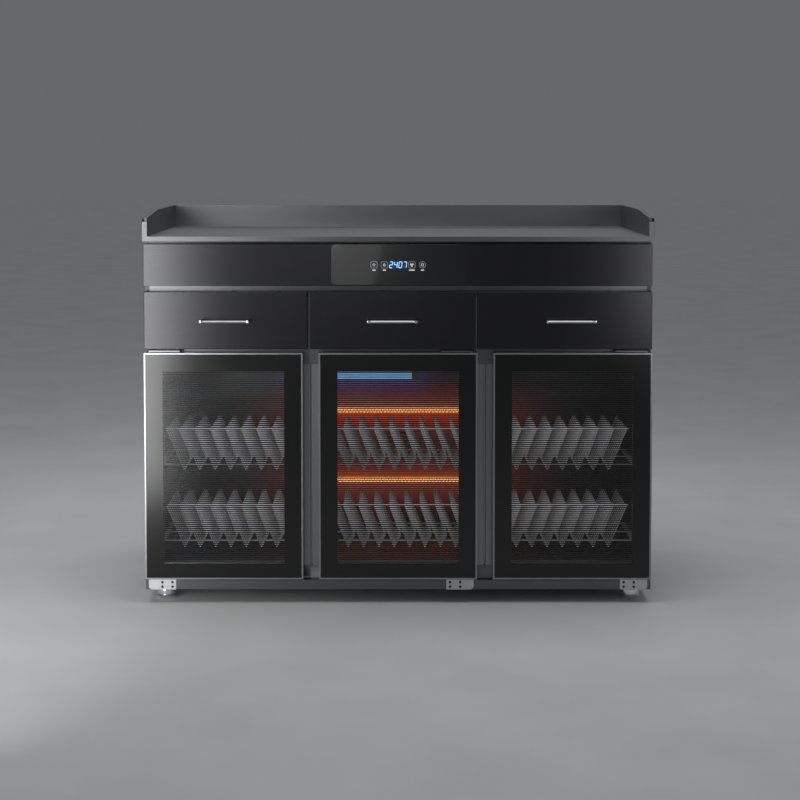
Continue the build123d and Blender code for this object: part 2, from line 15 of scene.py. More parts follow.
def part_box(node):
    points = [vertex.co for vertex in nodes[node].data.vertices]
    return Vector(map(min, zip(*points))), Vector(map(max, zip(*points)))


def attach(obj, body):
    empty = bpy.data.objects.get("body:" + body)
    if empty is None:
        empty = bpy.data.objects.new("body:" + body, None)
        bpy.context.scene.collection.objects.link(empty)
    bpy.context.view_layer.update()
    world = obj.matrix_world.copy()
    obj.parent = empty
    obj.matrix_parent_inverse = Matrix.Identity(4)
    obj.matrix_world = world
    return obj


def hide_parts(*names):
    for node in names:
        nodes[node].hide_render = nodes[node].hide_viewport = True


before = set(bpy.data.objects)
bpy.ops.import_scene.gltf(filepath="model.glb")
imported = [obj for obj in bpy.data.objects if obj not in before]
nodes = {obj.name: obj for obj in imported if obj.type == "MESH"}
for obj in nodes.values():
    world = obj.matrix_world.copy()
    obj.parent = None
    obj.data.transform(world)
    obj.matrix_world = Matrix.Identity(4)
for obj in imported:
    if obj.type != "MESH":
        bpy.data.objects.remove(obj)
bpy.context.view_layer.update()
mm = 0.001
sides = ("left", "centre", "right")

# %% [markdown]
# The photograph looks at the front from chest height. A photographer keeps the camera level
# and shifts the lens, so that upright lines stay upright. Here most of the drop is shift and
# the rest a slight tilt, so that other views, which keep the shift, hold the whole cabinet.

# %% Camera
front_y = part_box("drawer_front_left")[0].y
camera_distance = 3.813
camera_height = 1.076
lens_drop = 0.2148
lens_side = 0.0024
tilt = radians(2.8)
camera_data = bpy.data.cameras.new("camera")
camera_data.sensor_width = 36.0
camera_data.lens = 73.4
camera_data.shift_x = lens_side
camera_data.shift_y = -lens_drop
camera = bpy.data.objects.new("camera", camera_data)
camera.location = (0.0, front_y - camera_distance, camera_height)
camera.rotation_euler = (pi / 2 - tilt, 0.0, 0.0)
bpy.context.scene.collection.objects.link(camera)
bpy.context.scene.camera = camera
bpy.context.scene.view_settings.view_transform = "Standard"
print("camera tilt in degrees", round(tilt / radians(1), 2))

# %% [markdown]
# ## Helpers for nodes
# Every finish and the world are made of nodes. A few short helpers make the nodes and links,
# so that a material reads as a list of what it mixes.

# %% Node helpers


def new_material(name):
    """A node material, with its tree and its Principled BSDF."""
    material = bpy.data.materials.new(name)
    material.use_nodes = True
    tree = material.node_tree
    return material, tree, tree.nodes["Principled BSDF"]


def feed(tree, socket, value):
    """Link an output to a socket, or set a plain value on it."""
    if isinstance(value, bpy.types.NodeSocket):
        tree.links.new(value, socket)
    else:
        socket.default_value = value


def add(tree, kind, **settings):
    """Add a node. A setting goes to the socket of that name, or else to the node itself."""
    node = tree.nodes.new(kind)
    for name, value in settings.items():
        key = name.replace("_", " ")
        if key in node.inputs:
            feed(tree, node.inputs[key], value)
        else:
            setattr(node, name, value)
    return node


def math(tree, operation, first, second=0.0):
    """A Math node that takes numbers or outputs."""
    node = tree.nodes.new("ShaderNodeMath")
    node.operation = operation
    feed(tree, node.inputs[0], first)
    feed(tree, node.inputs[1], second)
    return node.outputs[0]


def blend_colour(tree, mask, first, second):
    """Mix two colours by a mask."""
    node = add(tree, "ShaderNodeMix", data_type="RGBA")
    feed(tree, node.inputs["Factor"], mask)
    feed(tree, node.inputs["A"], first)
    feed(tree, node.inputs["B"], second)
    return node.outputs["Result"]


def between(tree, value, low, high):
    """A number from low to high as value goes from 0 to 1."""
    node = add(tree, "ShaderNodeMapRange", Value=value, To_Min=low, To_Max=high)
    return node.outputs["Result"]


def object_place(tree):
    """The place of the shaded point in the object's own coordinates."""
    return add(tree, "ShaderNodeTexCoord").outputs["Object"]


def rgb(r, g, b):
    return (r, g, b, 1.0)


print("helpers", new_material.__name__, add.__name__, math.__name__, between.__name__)

# %% [markdown]
# ## Light
# Dark steel shows mostly what it reflects, so the lamps are placed for their reflections.
# The world fills the shadows. What the camera, metal and glass see of it is a darker grey,
# which meets the floor's tone at the horizon, so that no line shows there.

# %% World
daylight = rgb(0.93, 0.96, 1.0)
fill_strength = 0.24
backdrop_strength = 0.145
world = bpy.data.worlds.new("studio")
bpy.context.scene.world = world
world.use_nodes = True
sky = world.node_tree
fill = sky.nodes["Background"]
fill.inputs["Color"].default_value = daylight
fill.inputs["Strength"].default_value = fill_strength
backdrop = add(sky, "ShaderNodeBackground", Color=daylight, Strength=backdrop_strength)
rays = add(sky, "ShaderNodeLightPath").outputs
shown = math(sky, "MAXIMUM", rays["Is Camera Ray"], rays["Is Glossy Ray"])
shown = math(sky, "MAXIMUM", shown, rays["Is Transmission Ray"])
either = add(sky, "ShaderNodeMixShader", Fac=shown)
sky.links.new(fill.outputs[0], either.inputs[1])
sky.links.new(backdrop.outputs[0], either.inputs[2])
sky.links.new(either.outputs[0], sky.nodes["World Output"].inputs["Surface"])
print("fill", fill_strength, "backdrop", backdrop_strength)

# %% [markdown]
# One tall softbox at the left gives the pale sheen at the left end of the fronts, and a
# lower, weaker one lifts the right end. Their grids keep the light off the floor. A leaning
# strip far in front draws the slanted edge across the control glass, a second one beside it
# fades in from the left, and a rim lamp behind brightens the upstands.

# %% Lamps


def softbox(name, place, target, width, height, radiance, spread):
    """A rectangular lamp of a given brightness. A grid can narrow its spread, in degrees."""
    half = radians(spread) / 2
    share = sin(half) ** 2 - (half - sin(half) * cos(half)) * cos(half) / sin(half)
    data = bpy.data.lights.new(name, "AREA")
    data.shape = "RECTANGLE"
    data.size = width
    data.size_y = height
    data.spread = radians(spread)
    data.energy = radiance * pi * width * height * share
    lamp = bpy.data.objects.new(name, data)
    lamp.location = place
    lamp.rotation_euler = (Vector(target) - Vector(place)).to_track_quat("-Z", "Y").to_euler()
    lamp.visible_camera = False
    bpy.context.scene.collection.objects.link(lamp)


side_y = front_y - 1.0
far_y = front_y - 5.8
strip_lean = radians(-12)
# place, target, width, height, radiance, spread
lamps = {
    "left_softbox": ((-1.04, side_y, 0.62), (-0.92, front_y, 0.60), 0.70, 1.16, 12.5, 80),
    "right_softbox": ((1.10, side_y, 0.78), (0.97, front_y, 0.76), 0.70, 0.54, 4.0, 80),
    "top_softbox": ((0.0, -0.3, 2.5), (0.0, 0.1, 0.8), 2.6, 1.6, 2.2, 180),
    "strip_light": ((-0.27, far_y, 0.50), (-0.27, front_y, 0.80), 0.34, 0.6, 1.1, 80),
    "rim_light": ((0.0, 2.4, 2.4), (0.0, 0.2, 0.9), 2.6, 0.8, 0.8, 90),
    "strip_glow": ((-0.50, far_y, 0.80), (-0.50, front_y, 0.80), 0.26, 0.6, 5.0, 80),
}
for name, values in lamps.items():
    softbox(name, *values)
bpy.data.objects["strip_light"].rotation_euler.rotate_axis("Z", strip_lean)
print("lamps", list(lamps))

# %% [markdown]
# ## Steel
# Brushed steel has fine straight scratches along one direction. An image could hold them,
# but noise that is stretched along that direction has no seams and no limit of detail. The
# group below makes it, with broad soft smudges beside it. Every steel on the cabinet uses
# the group with its own stretch.

# %% Brushed grain group
scratch_depth = 0.06 * mm


def grain_group():
    group = bpy.data.node_groups.new("brushed_grain", "ShaderNodeTree")
    socket = group.interface.new_socket
    stretch = socket("Stretch", in_out="INPUT", socket_type="NodeSocketVector")
    stretch.default_value = (3.0, 900.0, 900.0)
    smudge_scale = socket("Smudge Scale", in_out="INPUT", socket_type="NodeSocketFloat")
    smudge_scale.default_value = 3.0
    for name in ("Tone", "Height", "Smudge"):
        socket(name, in_out="OUTPUT", socket_type="NodeSocketFloat")
    ends = add(group, "NodeGroupInput").outputs
    out = add(group, "NodeGroupOutput").inputs
    place = object_place(group)
    scaled = add(group, "ShaderNodeVectorMath", operation="MULTIPLY")
    feed(group, scaled.inputs[0], place)
    feed(group, scaled.inputs[1], ends["Stretch"])
    fine = add(group, "ShaderNodeTexNoise", Vector=scaled.outputs[0], Scale=1.0, Detail=3.0,
               Roughness=0.65).outputs["Fac"]
    broad = add(group, "ShaderNodeTexNoise", Vector=place, Scale=ends["Smudge Scale"],
                Detail=2.0, Roughness=0.5).outputs["Fac"]
    feed(group, out["Tone"], fine)
    feed(group, out["Height"], math(group, "MULTIPLY", fine, scratch_depth))
    feed(group, out["Smudge"], broad)
    return group


grain = grain_group()
print("group", grain.name, [item.name for item in grain.interface.items_tree])

# %% [markdown]
# Dust settles on what faces up. The second group finds those faces by the Z of their normal
# and breaks the dust up with noise. It belongs to the object, so it stays where it is in
# every view.

# %% Settled dust group
dust_scale = 35.0
dust_from = 0.35
dust_full = 0.75


def dust_group():
    group = bpy.data.node_groups.new("settled_dust", "ShaderNodeTree")
    socket = group.interface.new_socket
    amount = socket("Amount", in_out="INPUT", socket_type="NodeSocketFloat")
    amount.default_value = 0.1
    socket("Dust", in_out="OUTPUT", socket_type="NodeSocketFloat")
    ends = add(group, "NodeGroupInput").outputs
    out = add(group, "NodeGroupOutput").inputs
    normal = add(group, "ShaderNodeNewGeometry").outputs["Normal"]
    facing = add(group, "ShaderNodeSeparateXYZ", Vector=normal).outputs["Z"]
    upward = math(group, "POWER", math(group, "MAXIMUM", facing, 0.0), 2.0)
    specks = add(group, "ShaderNodeTexNoise", Scale=dust_scale, Detail=4.0, Roughness=0.7,
                 Vector=object_place(group)).outputs["Fac"]
    thick = add(group, "ShaderNodeMapRange", Value=specks, From_Min=dust_from,
                From_Max=dust_full).outputs["Result"]
    settled = math(group, "MULTIPLY", upward, thick)
    feed(group, out["Dust"], math(group, "MULTIPLY", settled, ends["Amount"]))
    return group


def use_group(tree, group, **settings):
    """Add a group node and set its inputs."""
    node = tree.nodes.new("ShaderNodeGroup")
    node.node_tree = group
    for name, value in settings.items():
        feed(tree, node.inputs[name.replace("_", " ")], value)
    return node.outputs


dust = dust_group()
print("group", dust.name)

# %% [markdown]
# A steel is full metal. Its base colour goes between two tones by the grain, its roughness
# follows the grain and the smudges, and the scratches raise a faint bump. The body is dark,
# the rails and mullions are greyer, and the door frames are the palest.

# %% Brushed steels
along_x = (4.0, 700.0, 700.0)
along_z = (700.0, 700.0, 4.0)
dust_share = 0.12
dust_tone = rgb(0.36, 0.35, 0.34)


def brushed_steel(name, dark, light, rough_low, rough_high, stretch=along_x, bump=0.35):
    """Metal whose tone, roughness and surface follow the brushed grain."""
    material, tree, shader = new_material(name)
    brushed = use_group(tree, grain, Stretch=stretch)
    colour = blend_colour(tree, brushed["Tone"], rgb(*dark), rgb(*light))
    settled = use_group(tree, dust, Amount=dust_share)["Dust"]
    dusty = blend_colour(tree, settled, colour, dust_tone)
    tree.links.new(dusty, shader.inputs["Base Color"])
    worn = math(tree, "MULTIPLY", math(tree, "ADD", brushed["Tone"], brushed["Smudge"]), 0.5)
    rough = math(tree, "ADD", between(tree, worn, rough_low, rough_high), settled)
    tree.links.new(rough, shader.inputs["Roughness"])
    shader.inputs["Metallic"].default_value = 1.0
    ridges = add(tree, "ShaderNodeBump", Height=brushed["Height"], Strength=bump, Distance=1.0)
    tree.links.new(ridges.outputs["Normal"], shader.inputs["Normal"])
    return material


black_tones = ((0.038, 0.038, 0.040), (0.052, 0.052, 0.055))
black_steel = brushed_steel("black_steel", *black_tones, 0.21, 0.31)
side_steel = brushed_steel("side_steel", *black_tones, 0.26, 0.40, stretch=along_z)
top_steel = brushed_steel("top_steel", (0.17, 0.173, 0.177), (0.21, 0.214, 0.219), 0.44, 0.58)
grey_steel = brushed_steel("grey_steel", (0.12, 0.123, 0.127), (0.17, 0.174, 0.18), 0.28, 0.42)
upright_steel = brushed_steel("upright_steel", (0.20, 0.208, 0.222), (0.28, 0.29, 0.31),
                              0.28, 0.42, stretch=along_z)
edge_steel = brushed_steel("edge_steel", (0.28, 0.285, 0.295), (0.36, 0.365, 0.375),
                           0.30, 0.40, stretch=along_z, bump=0.2)
# The upper brackets and clips are painted darker than the lower brackets: painted shade.
shaded_plate_steel = brushed_steel("shaded_plate_steel", (0.15, 0.15, 0.155), (0.20, 0.20, 0.205), 0.28, 0.38)
hinge_steel = brushed_steel("hinge_steel", (0.55, 0.55, 0.56), (0.68, 0.68, 0.69), 0.40, 0.52)
liner_steel = brushed_steel("liner_steel", (0.14, 0.14, 0.145), (0.20, 0.20, 0.205), 0.30, 0.45)
box_steel = brushed_steel("box_steel", (0.42, 0.42, 0.43), (0.52, 0.52, 0.53), 0.30, 0.45)
print("steels", [m.name for m in bpy.data.materials if "steel" in m.name])

# %% [markdown]
# The chamber's rear wall shows a dull red glow round the two heaters and a violet one round
# the lamp. Light that bounces inside the chamber could do this, but slowly and with noise.
# Here the glow is painted into the wall's emission, worked out from the distance to each
# tube's line, so it belongs to the wall and stays there in any view. It stops short of the
# wall's outer skin.

# %% Painted glow on the liner
heater_low, heater_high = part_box("heater_tubes")
tube_radius = (heater_high.y - heater_low.y) / 2
heater_levels = (heater_low.z + tube_radius, heater_high.z - tube_radius)
lamp_low, lamp_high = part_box("uv_lamp")
heat_reach = 38 * mm
heat_sag = 12 * mm
heat_floor = 0.05
heated_share = 0.8
sideways = 0.16
violet_reach = 26 * mm
wall_skin = 0.3 * mm


def distance(tree, rise, run, weight=1.0):
    """The length of a rise and a run, with the run's square weighted."""
    run_squared = math(tree, "MULTIPLY", math(tree, "MULTIPLY", run, run), weight)
    return math(tree, "SQRT", math(tree, "ADD", math(tree, "MULTIPLY", rise, rise), run_squared))


def past(tree, x, middle, half):
    """How far x lies outside a stretch about the middle, or 0 within it."""
    off = math(tree, "ABSOLUTE", math(tree, "SUBTRACT", x, middle))
    return math(tree, "MAXIMUM", math(tree, "SUBTRACT", off, half), 0.0)


def fading(tree, away, reach):
    return math(tree, "EXPONENT", math(tree, "DIVIDE", away, -reach))


# Paints the heaters' red light and the lamp's violet light onto the wall as emission.
def paint_wall_glow(material):
    tree = material.node_tree
    shader = tree.nodes["Principled BSDF"]
    axes = add(tree, "ShaderNodeSeparateXYZ", Vector=object_place(tree)).outputs
    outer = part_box("chamber_liner")[1].y - wall_skin
    inside = math(tree, "LESS_THAN", axes["Y"], outer)
    beyond = past(tree, axes["X"], 0.0, heater_high.x * heated_share)
    glows = []
    for level in heater_levels:
        rise = math(tree, "SUBTRACT", axes["Z"], level - heat_sag)
        glows.append(fading(tree, distance(tree, rise, beyond, sideways), heat_reach))
    # painted glow: the heaters' light on the wall, as emission
    painted_red_glow = math(tree, "SUBTRACT", math(tree, "ADD", *glows), heat_floor)
    painted_red_glow = math(tree, "MULTIPLY", painted_red_glow, inside)
    red = blend_colour(tree, painted_red_glow, rgb(0, 0, 0), rgb(0.50, 0.042, 0.010))
    rise = math(tree, "SUBTRACT", axes["Z"], (lamp_low.z + lamp_high.z) / 2)
    beyond = past(tree, axes["X"], (lamp_low.x + lamp_high.x) / 2, (lamp_high.x - lamp_low.x) / 2)
    violet = math(tree, "MULTIPLY", fading(tree, distance(tree, rise, beyond), violet_reach),
                  inside)
    lit = add(tree, "ShaderNodeMix", data_type="RGBA", blend_type="ADD")
    feed(tree, lit.inputs["Factor"], violet)
    feed(tree, lit.inputs["A"], red)
    feed(tree, lit.inputs["B"], rgb(0.05, 0.07, 0.24))
    tree.links.new(lit.outputs["Result"], shader.inputs["Emission Color"])
    shader.inputs["Emission Strength"].default_value = 1.0


paint_wall_glow(liner_steel)
print("heaters at", [round(level, 3) for level in heater_levels])

# %% [markdown]
# ## Bright metal
# Chrome is a mirror with a few faint smears, on the handles and the feet. The rack wires
# have a satin coat, which is paler and rougher. One helper makes both, because roughness is
# what sets them apart.

# %% Chrome and satin wire


def polished(name, colour, low, high, scale, metal=1.0):
    material, tree, shader = new_material(name)
    smear = add(tree, "ShaderNodeTexNoise", Scale=scale, Detail=3.0,
                Vector=object_place(tree)).outputs["Fac"]
    tint = blend_colour(tree, smear, rgb(*[c * 0.92 for c in colour]), rgb(*colour))
    tree.links.new(tint, shader.inputs["Base Color"])
    tree.links.new(between(tree, smear, low, high), shader.inputs["Roughness"])
    shader.inputs["Metallic"].default_value = metal
    return material


chrome = polished("chrome", (0.80, 0.81, 0.83), 0.05, 0.16, 60.0)
satin_wire = polished("satin_wire", (0.90, 0.90, 0.91), 0.32, 0.45, 90.0, metal=0.2)
print("bright metal", chrome.name, satin_wire.name)

# %% [markdown]
# In the photograph the racks are lit by the lamp above them, most at their tops and near
# the doors. The wires get this light as a faint emission, worked out from their own place
# on the cabinet, and it dies away towards the rear.

# %% Lamp light on the wires
rack_levels = (113 * mm, 301 * mm)
lit_reach = 260 * mm
lit_strength = 0.25
lit_low = 0.22
lit_high = 1.75


def lit_from_front(material, start):
    tree = material.node_tree
    shader = tree.nodes["Principled BSDF"]
    axes = add(tree, "ShaderNodeSeparateXYZ", Vector=object_place(tree)).outputs
    behind = math(tree, "DIVIDE", math(tree, "SUBTRACT", axes["Y"], start), lit_reach)
    near = between(tree, behind, 1.0, 0.0)
    above = math(tree, "DIVIDE", math(tree, "SUBTRACT", axes["Z"], rack_levels[0]),
                 rack_levels[1] - rack_levels[0])
    upper = between(tree, math(tree, "FRACT", above), lit_low, lit_high)
    soft = math(tree, "MULTIPLY", math(tree, "MULTIPLY", near, near), upper)
    colour = blend_colour(tree, soft, rgb(0, 0, 0), rgb(0.90, 0.90, 0.91))
    tree.links.new(colour, shader.inputs["Emission Color"])
    shader.inputs["Emission Strength"].default_value = lit_strength


lit_from_front(satin_wire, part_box("dish_racks_left")[0].y)
print("wires lit over", lit_reach)

# %% [markdown]
# The back, the base and the runners are zinc-coated sheet, which shows large flat crystals
# of slightly different grey. Voronoi cells have just that shape.

# %% Galvanised sheet


def galvanised_sheet():
    material, tree, shader = new_material("galvanised")
    crystals = add(tree, "ShaderNodeTexVoronoi", Scale=70.0, Vector=object_place(tree))
    patch = add(tree, "ShaderNodeSeparateColor", Color=crystals.outputs["Color"]).outputs[0]
    colour = blend_colour(tree, patch, rgb(0.36, 0.37, 0.38), rgb(0.50, 0.51, 0.52))
    tree.links.new(colour, shader.inputs["Base Color"])
    tree.links.new(between(tree, patch, 0.38, 0.52), shader.inputs["Roughness"])
    shader.inputs["Metallic"].default_value = 0.9
    return material


galvanised = galvanised_sheet()
print("sheet", galvanised.name)

# %% [markdown]
# ## Plain finishes
# Plain finishes still vary a little over the surface: moulded plastic has a fine grain, the
# seal is dull, the ceramic caps have a glaze and the motor is painted. One helper makes
# them all, from the size of the grain and how strongly it shows.

# %% Plastics, rubber, ceramic and paint


def moulded(name, colour, low, high, scale, bump):
    material, tree, shader = new_material(name)
    pores = add(tree, "ShaderNodeTexNoise", Scale=scale, Detail=4.0,
                Vector=object_place(tree)).outputs["Fac"]
    tint = blend_colour(tree, pores, rgb(*[c * 0.8 for c in colour]), rgb(*colour))
    tree.links.new(tint, shader.inputs["Base Color"])
    tree.links.new(between(tree, pores, low, high), shader.inputs["Roughness"])
    skin = add(tree, "ShaderNodeBump", Height=pores, Strength=bump, Distance=0.2 * mm)
    tree.links.new(skin.outputs["Normal"], shader.inputs["Normal"])
    return material


box_plastic = moulded("box_plastic", (0.05, 0.05, 0.055), 0.4, 0.6, 900.0, 0.4)
nylon = moulded("nylon", (0.03, 0.03, 0.032), 0.35, 0.5, 700.0, 0.3)
seal_rubber = moulded("seal_rubber", (0.035, 0.035, 0.037), 0.6, 0.8, 400.0, 0.5)
ceramic = moulded("ceramic", (0.80, 0.78, 0.74), 0.15, 0.3, 300.0, 0.2)
motor_paint = moulded("motor_paint", (0.10, 0.10, 0.11), 0.4, 0.6, 300.0, 0.5)
board_green = moulded("board_green", (0.03, 0.16, 0.07), 0.3, 0.5, 200.0, 0.3)
floor_paint = moulded("floor_paint", (0.66, 0.66, 0.66), 0.8, 0.9, 4.0, 0.0)
print("plain finishes", ceramic.name, nylon.name, floor_paint.name)

# %% [markdown]
# The studio floor is one large plain square. It rides on no body, so it isn't part of the
# object.

# %% Floor
floor_half = 30.0
floor_mesh = bmesh.new()
bmesh.ops.create_grid(floor_mesh, x_segments=1, y_segments=1, size=floor_half)
floor_data = bpy.data.meshes.new("floor")
floor_mesh.to_mesh(floor_data)
floor_mesh.free()
floor_data.materials.append(floor_paint)
floor = bpy.data.objects.new("floor", floor_data)
bpy.context.scene.collection.objects.link(floor)
print("floor", floor_half * 2, "m across")

# %% [markdown]
# ## Glass
# The control glass is black all over, with two layers of shine: a rough one that spreads
# the strip's light into a soft fade, and a clear coat that keeps the strip's edge sharp.

# %% Control glass


def gloss_black():
    material, tree, shader = new_material("gloss_black")
    smear = add(tree, "ShaderNodeTexNoise", Scale=7.0, Detail=2.0,
                Vector=object_place(tree)).outputs["Fac"]
    colour = blend_colour(tree, smear, rgb(0.004, 0.004, 0.005), rgb(0.008, 0.008, 0.009))
    tree.links.new(colour, shader.inputs["Base Color"])
    tree.links.new(between(tree, smear, 0.15, 0.21), shader.inputs["Roughness"])
    shader.inputs["Coat Weight"].default_value = 0.5
    shader.inputs["Coat Roughness"].default_value = 0.04
    return material


control_black = gloss_black()
print("control glass", control_black.name)

# %% [markdown]
# A door pane has a black printed border, and its window is printed with fine dark lines.
# Each line could be a thin strip of mesh, but there are about a hundred on a door, so the
# material draws them from the height on the door. Its alpha is 1 on the border, high on a
# printed line, and low on the clear line beside it.

# %% Striped door glass
stripe_pitch = 5.0 * mm
clear_share = 0.5
printed_alpha = 0.82
clear_alpha = 0.10
border = 44.0 * mm
lower_border = 35.0 * mm


def striped_glass(name, window_low, window_high):
    material, tree, shader = new_material(name)
    place = object_place(tree)
    axes = add(tree, "ShaderNodeSeparateXYZ", Vector=place).outputs
    inside = math(tree, "GREATER_THAN", axes["X"], window_low.x)
    for test, axis, limit in (("LESS_THAN", "X", window_high.x),
                              ("GREATER_THAN", "Z", window_low.z),
                              ("LESS_THAN", "Z", window_high.z)):
        inside = math(tree, "MULTIPLY", inside, math(tree, test, axes[axis], limit))
    phase = math(tree, "FRACT", math(tree, "DIVIDE", axes["Z"], stripe_pitch))
    clear = math(tree, "LESS_THAN", phase, clear_share)
    colour = blend_colour(tree, math(tree, "MULTIPLY", inside, clear),
                          rgb(0.002, 0.002, 0.0022), rgb(0.12, 0.12, 0.125))
    tree.links.new(colour, shader.inputs["Base Color"])
    window_alpha = between(tree, clear, printed_alpha, clear_alpha)
    tree.links.new(between(tree, inside, 1.0, window_alpha), shader.inputs["Alpha"])
    haze = add(tree, "ShaderNodeTexNoise", Vector=place, Scale=5.0, Detail=2.0)
    tree.links.new(between(tree, haze.outputs["Fac"], 0.16, 0.26), shader.inputs["Roughness"])
    return material


pane_glasses = {}
for side in sides:
    low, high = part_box(f"door_frame_{side}")
    window_low = low + Vector((border, 0, lower_border))
    window_high = high - Vector((border, 0, border))
    pane_glasses[side] = striped_glass(f"striped_glass_{side}", window_low, window_high)
print("glasses", [material.name for material in pane_glasses.values()])

# %% [markdown]
# ## Things that give light
# The heater coils glow orange, the ultraviolet lamp pale blue, and the display a deeper
# blue. The keys are printed, but stand lit from behind, so they glow faintly too. A little
# noise keeps each from being one flat colour.

# %% Glowing finishes


def glowing(name, dark, bright, strength, scale):
    material, tree, shader = new_material(name)
    flicker = add(tree, "ShaderNodeTexNoise", Scale=scale, Detail=1.0,
                  Vector=object_place(tree)).outputs["Fac"]
    colour = blend_colour(tree, flicker, rgb(*dark), rgb(*bright))
    tree.links.new(colour, shader.inputs["Emission Color"])
    shader.inputs["Emission Strength"].default_value = strength
    shader.inputs["Base Color"].default_value = rgb(*dark)
    shader.inputs["Roughness"].default_value = 0.4
    return material


coil_glow = glowing("coil_glow", (1.0, 0.42, 0.06), (1.0, 0.62, 0.16), 2.0, 30.0)
lamp_glow = glowing("lamp_glow", (0.16, 0.42, 0.70), (0.24, 0.52, 0.78), 1.0, 12.0)
digit_glow = glowing("digit_glow", (0.30, 0.62, 0.95), (0.50, 0.78, 1.0), 1.0, 80.0)
display_blue = glowing("display_blue", (0.004, 0.03, 0.09), (0.006, 0.045, 0.12), 0.6, 60.0)
key_white = glowing("key_white", (0.75, 0.78, 0.80), (0.85, 0.87, 0.90), 0.45, 80.0)
key_grey = glowing("key_grey", (0.50, 0.52, 0.54), (0.60, 0.62, 0.64), 0.22, 80.0)
print("glowing", coil_glow.name, lamp_glow.name, digit_glow.name)

# %% [markdown]
# The heater's quartz tube is clear with an orange cast from the coil in it. Alpha lets the
# coil show through at much less cost than true glass in a thin tube.

# %% Quartz


def quartz_glass():
    material, tree, shader = new_material("quartz")
    streak = add(tree, "ShaderNodeTexNoise", Scale=40.0, Detail=1.0,
                 Vector=object_place(tree)).outputs["Fac"]
    colour = blend_colour(tree, streak, rgb(0.9, 0.30, 0.05), rgb(1.0, 0.42, 0.09))
    tree.links.new(colour, shader.inputs["Base Color"])
    tree.links.new(colour, shader.inputs["Emission Color"])
    tree.links.new(between(tree, streak, 0.25, 0.4), shader.inputs["Alpha"])
    shader.inputs["Roughness"].default_value = 0.15
    shader.inputs["Emission Strength"].default_value = 1.1
    return material


quartz = quartz_glass()
print("quartz", quartz.name)

# %% [markdown]
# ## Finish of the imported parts
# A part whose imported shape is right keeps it, and only gets its material. The list says
# which finish goes where, as a maker's parts list would.

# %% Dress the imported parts


def each(kind):
    """The names of the left, centre and right part of a kind."""
    return [f"{kind}_{side}" for side in sides]


corners = ("front_left", "front_right", "rear_left", "rear_right")
finishes = {
    side_steel: ["left_side_panel", "right_side_panel"],
    grey_steel: ["bottom_rail", "head_rail", "drawer_rail"],
    upright_steel: ["mullion_left", "mullion_right", "side_stiles"],
    galvanised: ["back_panel", "base_pan", "foot_sockets", "drawer_bay_floor",
                 "drawer_partitions", "electrics_shelf", "runner_channels", "fan_impeller",
                 *each("drawer_runners")],
    liner_steel: ["chamber_liner"],
    box_steel: each("drawer_box"),
    black_steel: ["top_rail", "fascia_panel", *each("drawer_front")],
    top_steel: ["worktop"],
    edge_steel: each("door_frame"),
    chrome: [*[f"foot_{corner}" for corner in corners], *each("drawer_handle")],
    # painted shade: the upper brackets take the darker plate steel
    shaded_plate_steel: ["top_hinge_brackets"],
    hinge_steel: ["bottom_hinge_brackets"],
    satin_wire: ["rack_supports", *each("dish_racks")],
    control_black: ["control_glass"],
    box_plastic: ["control_box"],
    board_green: ["control_board"],
    nylon: ["cable_gland"],
    seal_rubber: each("door_gasket"),
    ceramic: ["tube_holders"],
    motor_paint: ["fan_motor"],
    lamp_glow: ["uv_lamp"],
    quartz: ["heater_tubes"],
}
for side, glass in pane_glasses.items():
    finishes[glass] = [f"door_pane_{side}"]
for material, names in finishes.items():
    for name in names:
        slots = nodes[name].data.materials
        slots.clear()
        slots.append(material)
dressed = {name for names in finishes.values() for name in names}
print("dressed", len(dressed), "left over", sorted(set(nodes) - dressed))

# %% [markdown]
# ## Finer pieces
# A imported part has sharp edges, which real folded sheet never has. The helpers below copy
# its mesh, join its triangles back into whole faces and give it a small bevel, so that every
# fold and corner catches the light. The bevel stays a modifier, so its width can be changed.

# %% Softened copies
smooth_below = radians(32)
bevel_above = radians(35)
weld = 0.001 * mm
flat_within = radians(0.5)


def piece(name, mesh, material, body, *stands_for):
    """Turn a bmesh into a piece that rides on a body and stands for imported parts."""
    bmesh.ops.recalc_face_normals(mesh, faces=mesh.faces)
    data = bpy.data.meshes.new(name)
    mesh.to_mesh(data)
    mesh.free()
    data.materials.append(material)
    data.shade_smooth()
    data.set_sharp_from_angle(angle=smooth_below)
    made = bpy.data.objects.new(name, data)
    bpy.context.scene.collection.objects.link(made)
    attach(made, body)
    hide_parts(*stands_for)
    return made


def bevelled(made, width):
    edge = made.modifiers.new("soft_edges", "BEVEL")
    edge.width = width
    edge.segments = 2
    edge.limit_method = "ANGLE"
    edge.angle_limit = bevel_above
    edge.harden_normals = True


def whole_faces(node):
    """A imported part's mesh in place, with its triangles joined into flat faces."""
    source = nodes[node]
    mesh = bmesh.new()
    mesh.from_mesh(source.data)
    mesh.transform(source.matrix_world)
    bmesh.ops.remove_doubles(mesh, verts=mesh.verts, dist=weld)
    bmesh.ops.dissolve_limit(mesh, angle_limit=flat_within, verts=mesh.verts,
                             edges=mesh.edges)
    return mesh


